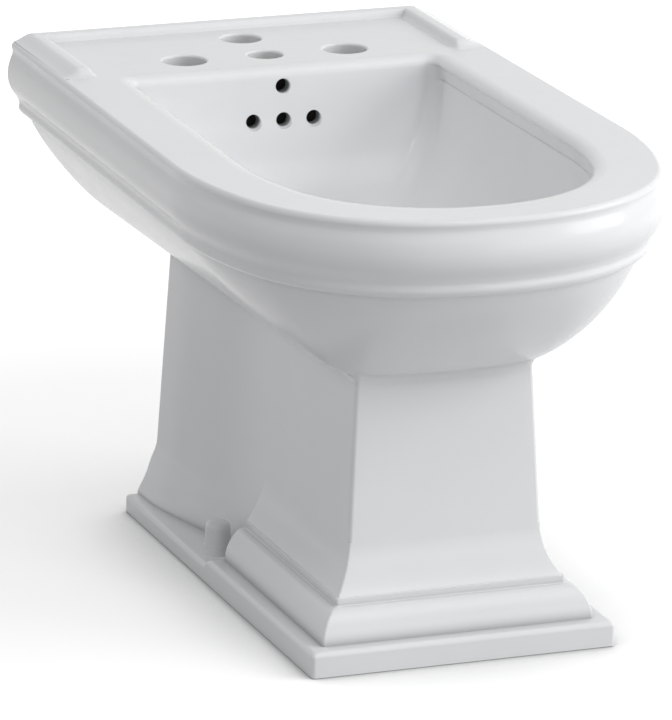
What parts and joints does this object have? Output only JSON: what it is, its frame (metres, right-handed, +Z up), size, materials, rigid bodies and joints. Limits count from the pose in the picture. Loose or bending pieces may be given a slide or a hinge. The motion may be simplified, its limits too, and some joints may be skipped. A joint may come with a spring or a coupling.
{
  "type": "bidet",
  "caption": "Floor-standing bidet with a D-shaped moulded rim, raised deck lip, stepped square pedestal, overflow holes, vertical spray and push-to-open waste.",
  "frame": {"origin": "on the floor, under the middle of the overall box", "axes": "+Z up, -Y towards the rounded front, +Y towards the wall, +X to the right seen from the front"},
  "size_m": [0.3734, 0.622, 0.368],
  "materials": {
    "china": "white glaze, high gloss",
    "white_plastic": "moulded white, glossy",
    "base_plastic": "moulded white, matt",
    "bolt_steel": "zinc plated",
    "waste_chrome": "polished chrome on brass",
    "tail_chrome": "polished chrome on brass",
    "cap_chrome": "polished chrome",
    "rose_chrome": "polished chrome",
    "spray_chrome": "polished chrome on brass",
    "seal_rubber": "moulded rubber",
    "gasket_rubber": "moulded rubber",
    "ring_rubber": "moulded rubber",
    "slip_plastic": "natural nylon",
    "nut_brass": "machined",
    "stem_brass": "machined",
    "tail_brass": "machined",
    "cartridge_plastic": "moulded acetal",
    "spring_steel": "spring wire"
  },
  "bodies": {
    "fixture": {"china_body": "china", "bolt_caps": "white_plastic", "cap_bases": "base_plastic", "floor_bolts": "bolt_steel", "bolt_washers": "bolt_steel", "bolt_nuts": "bolt_steel", "waste_body": "waste_chrome", "waste_seal": "seal_rubber", "waste_gasket": "gasket_rubber", "waste_friction_ring": "slip_plastic", "waste_nut": "nut_brass", "waste_tail": "tail_chrome", "stopper_cartridge": "cartridge_plastic", "stopper_spring": "spring_steel", "spray_rose": "rose_chrome", "spray_body": "spray_chrome", "spray_seal": "seal_rubber", "spray_gasket": "gasket_rubber", "spray_washer": "bolt_steel", "spray_nut": "nut_brass", "spray_union_nut": "nut_brass", "spray_inlet_tail": "tail_brass"},
    "stopper": {"stopper_cap": "cap_chrome", "stopper_stem": "stem_brass", "stopper_ring": "ring_rubber"}
  },
  "joints": [
    {"name": "stopper_lift", "type": "slide", "parent": "fixture", "child": "stopper", "axis": [0, 0, 1], "range_m": [0, 0.009], "deforming": ["stopper_spring"]}
  ]
}
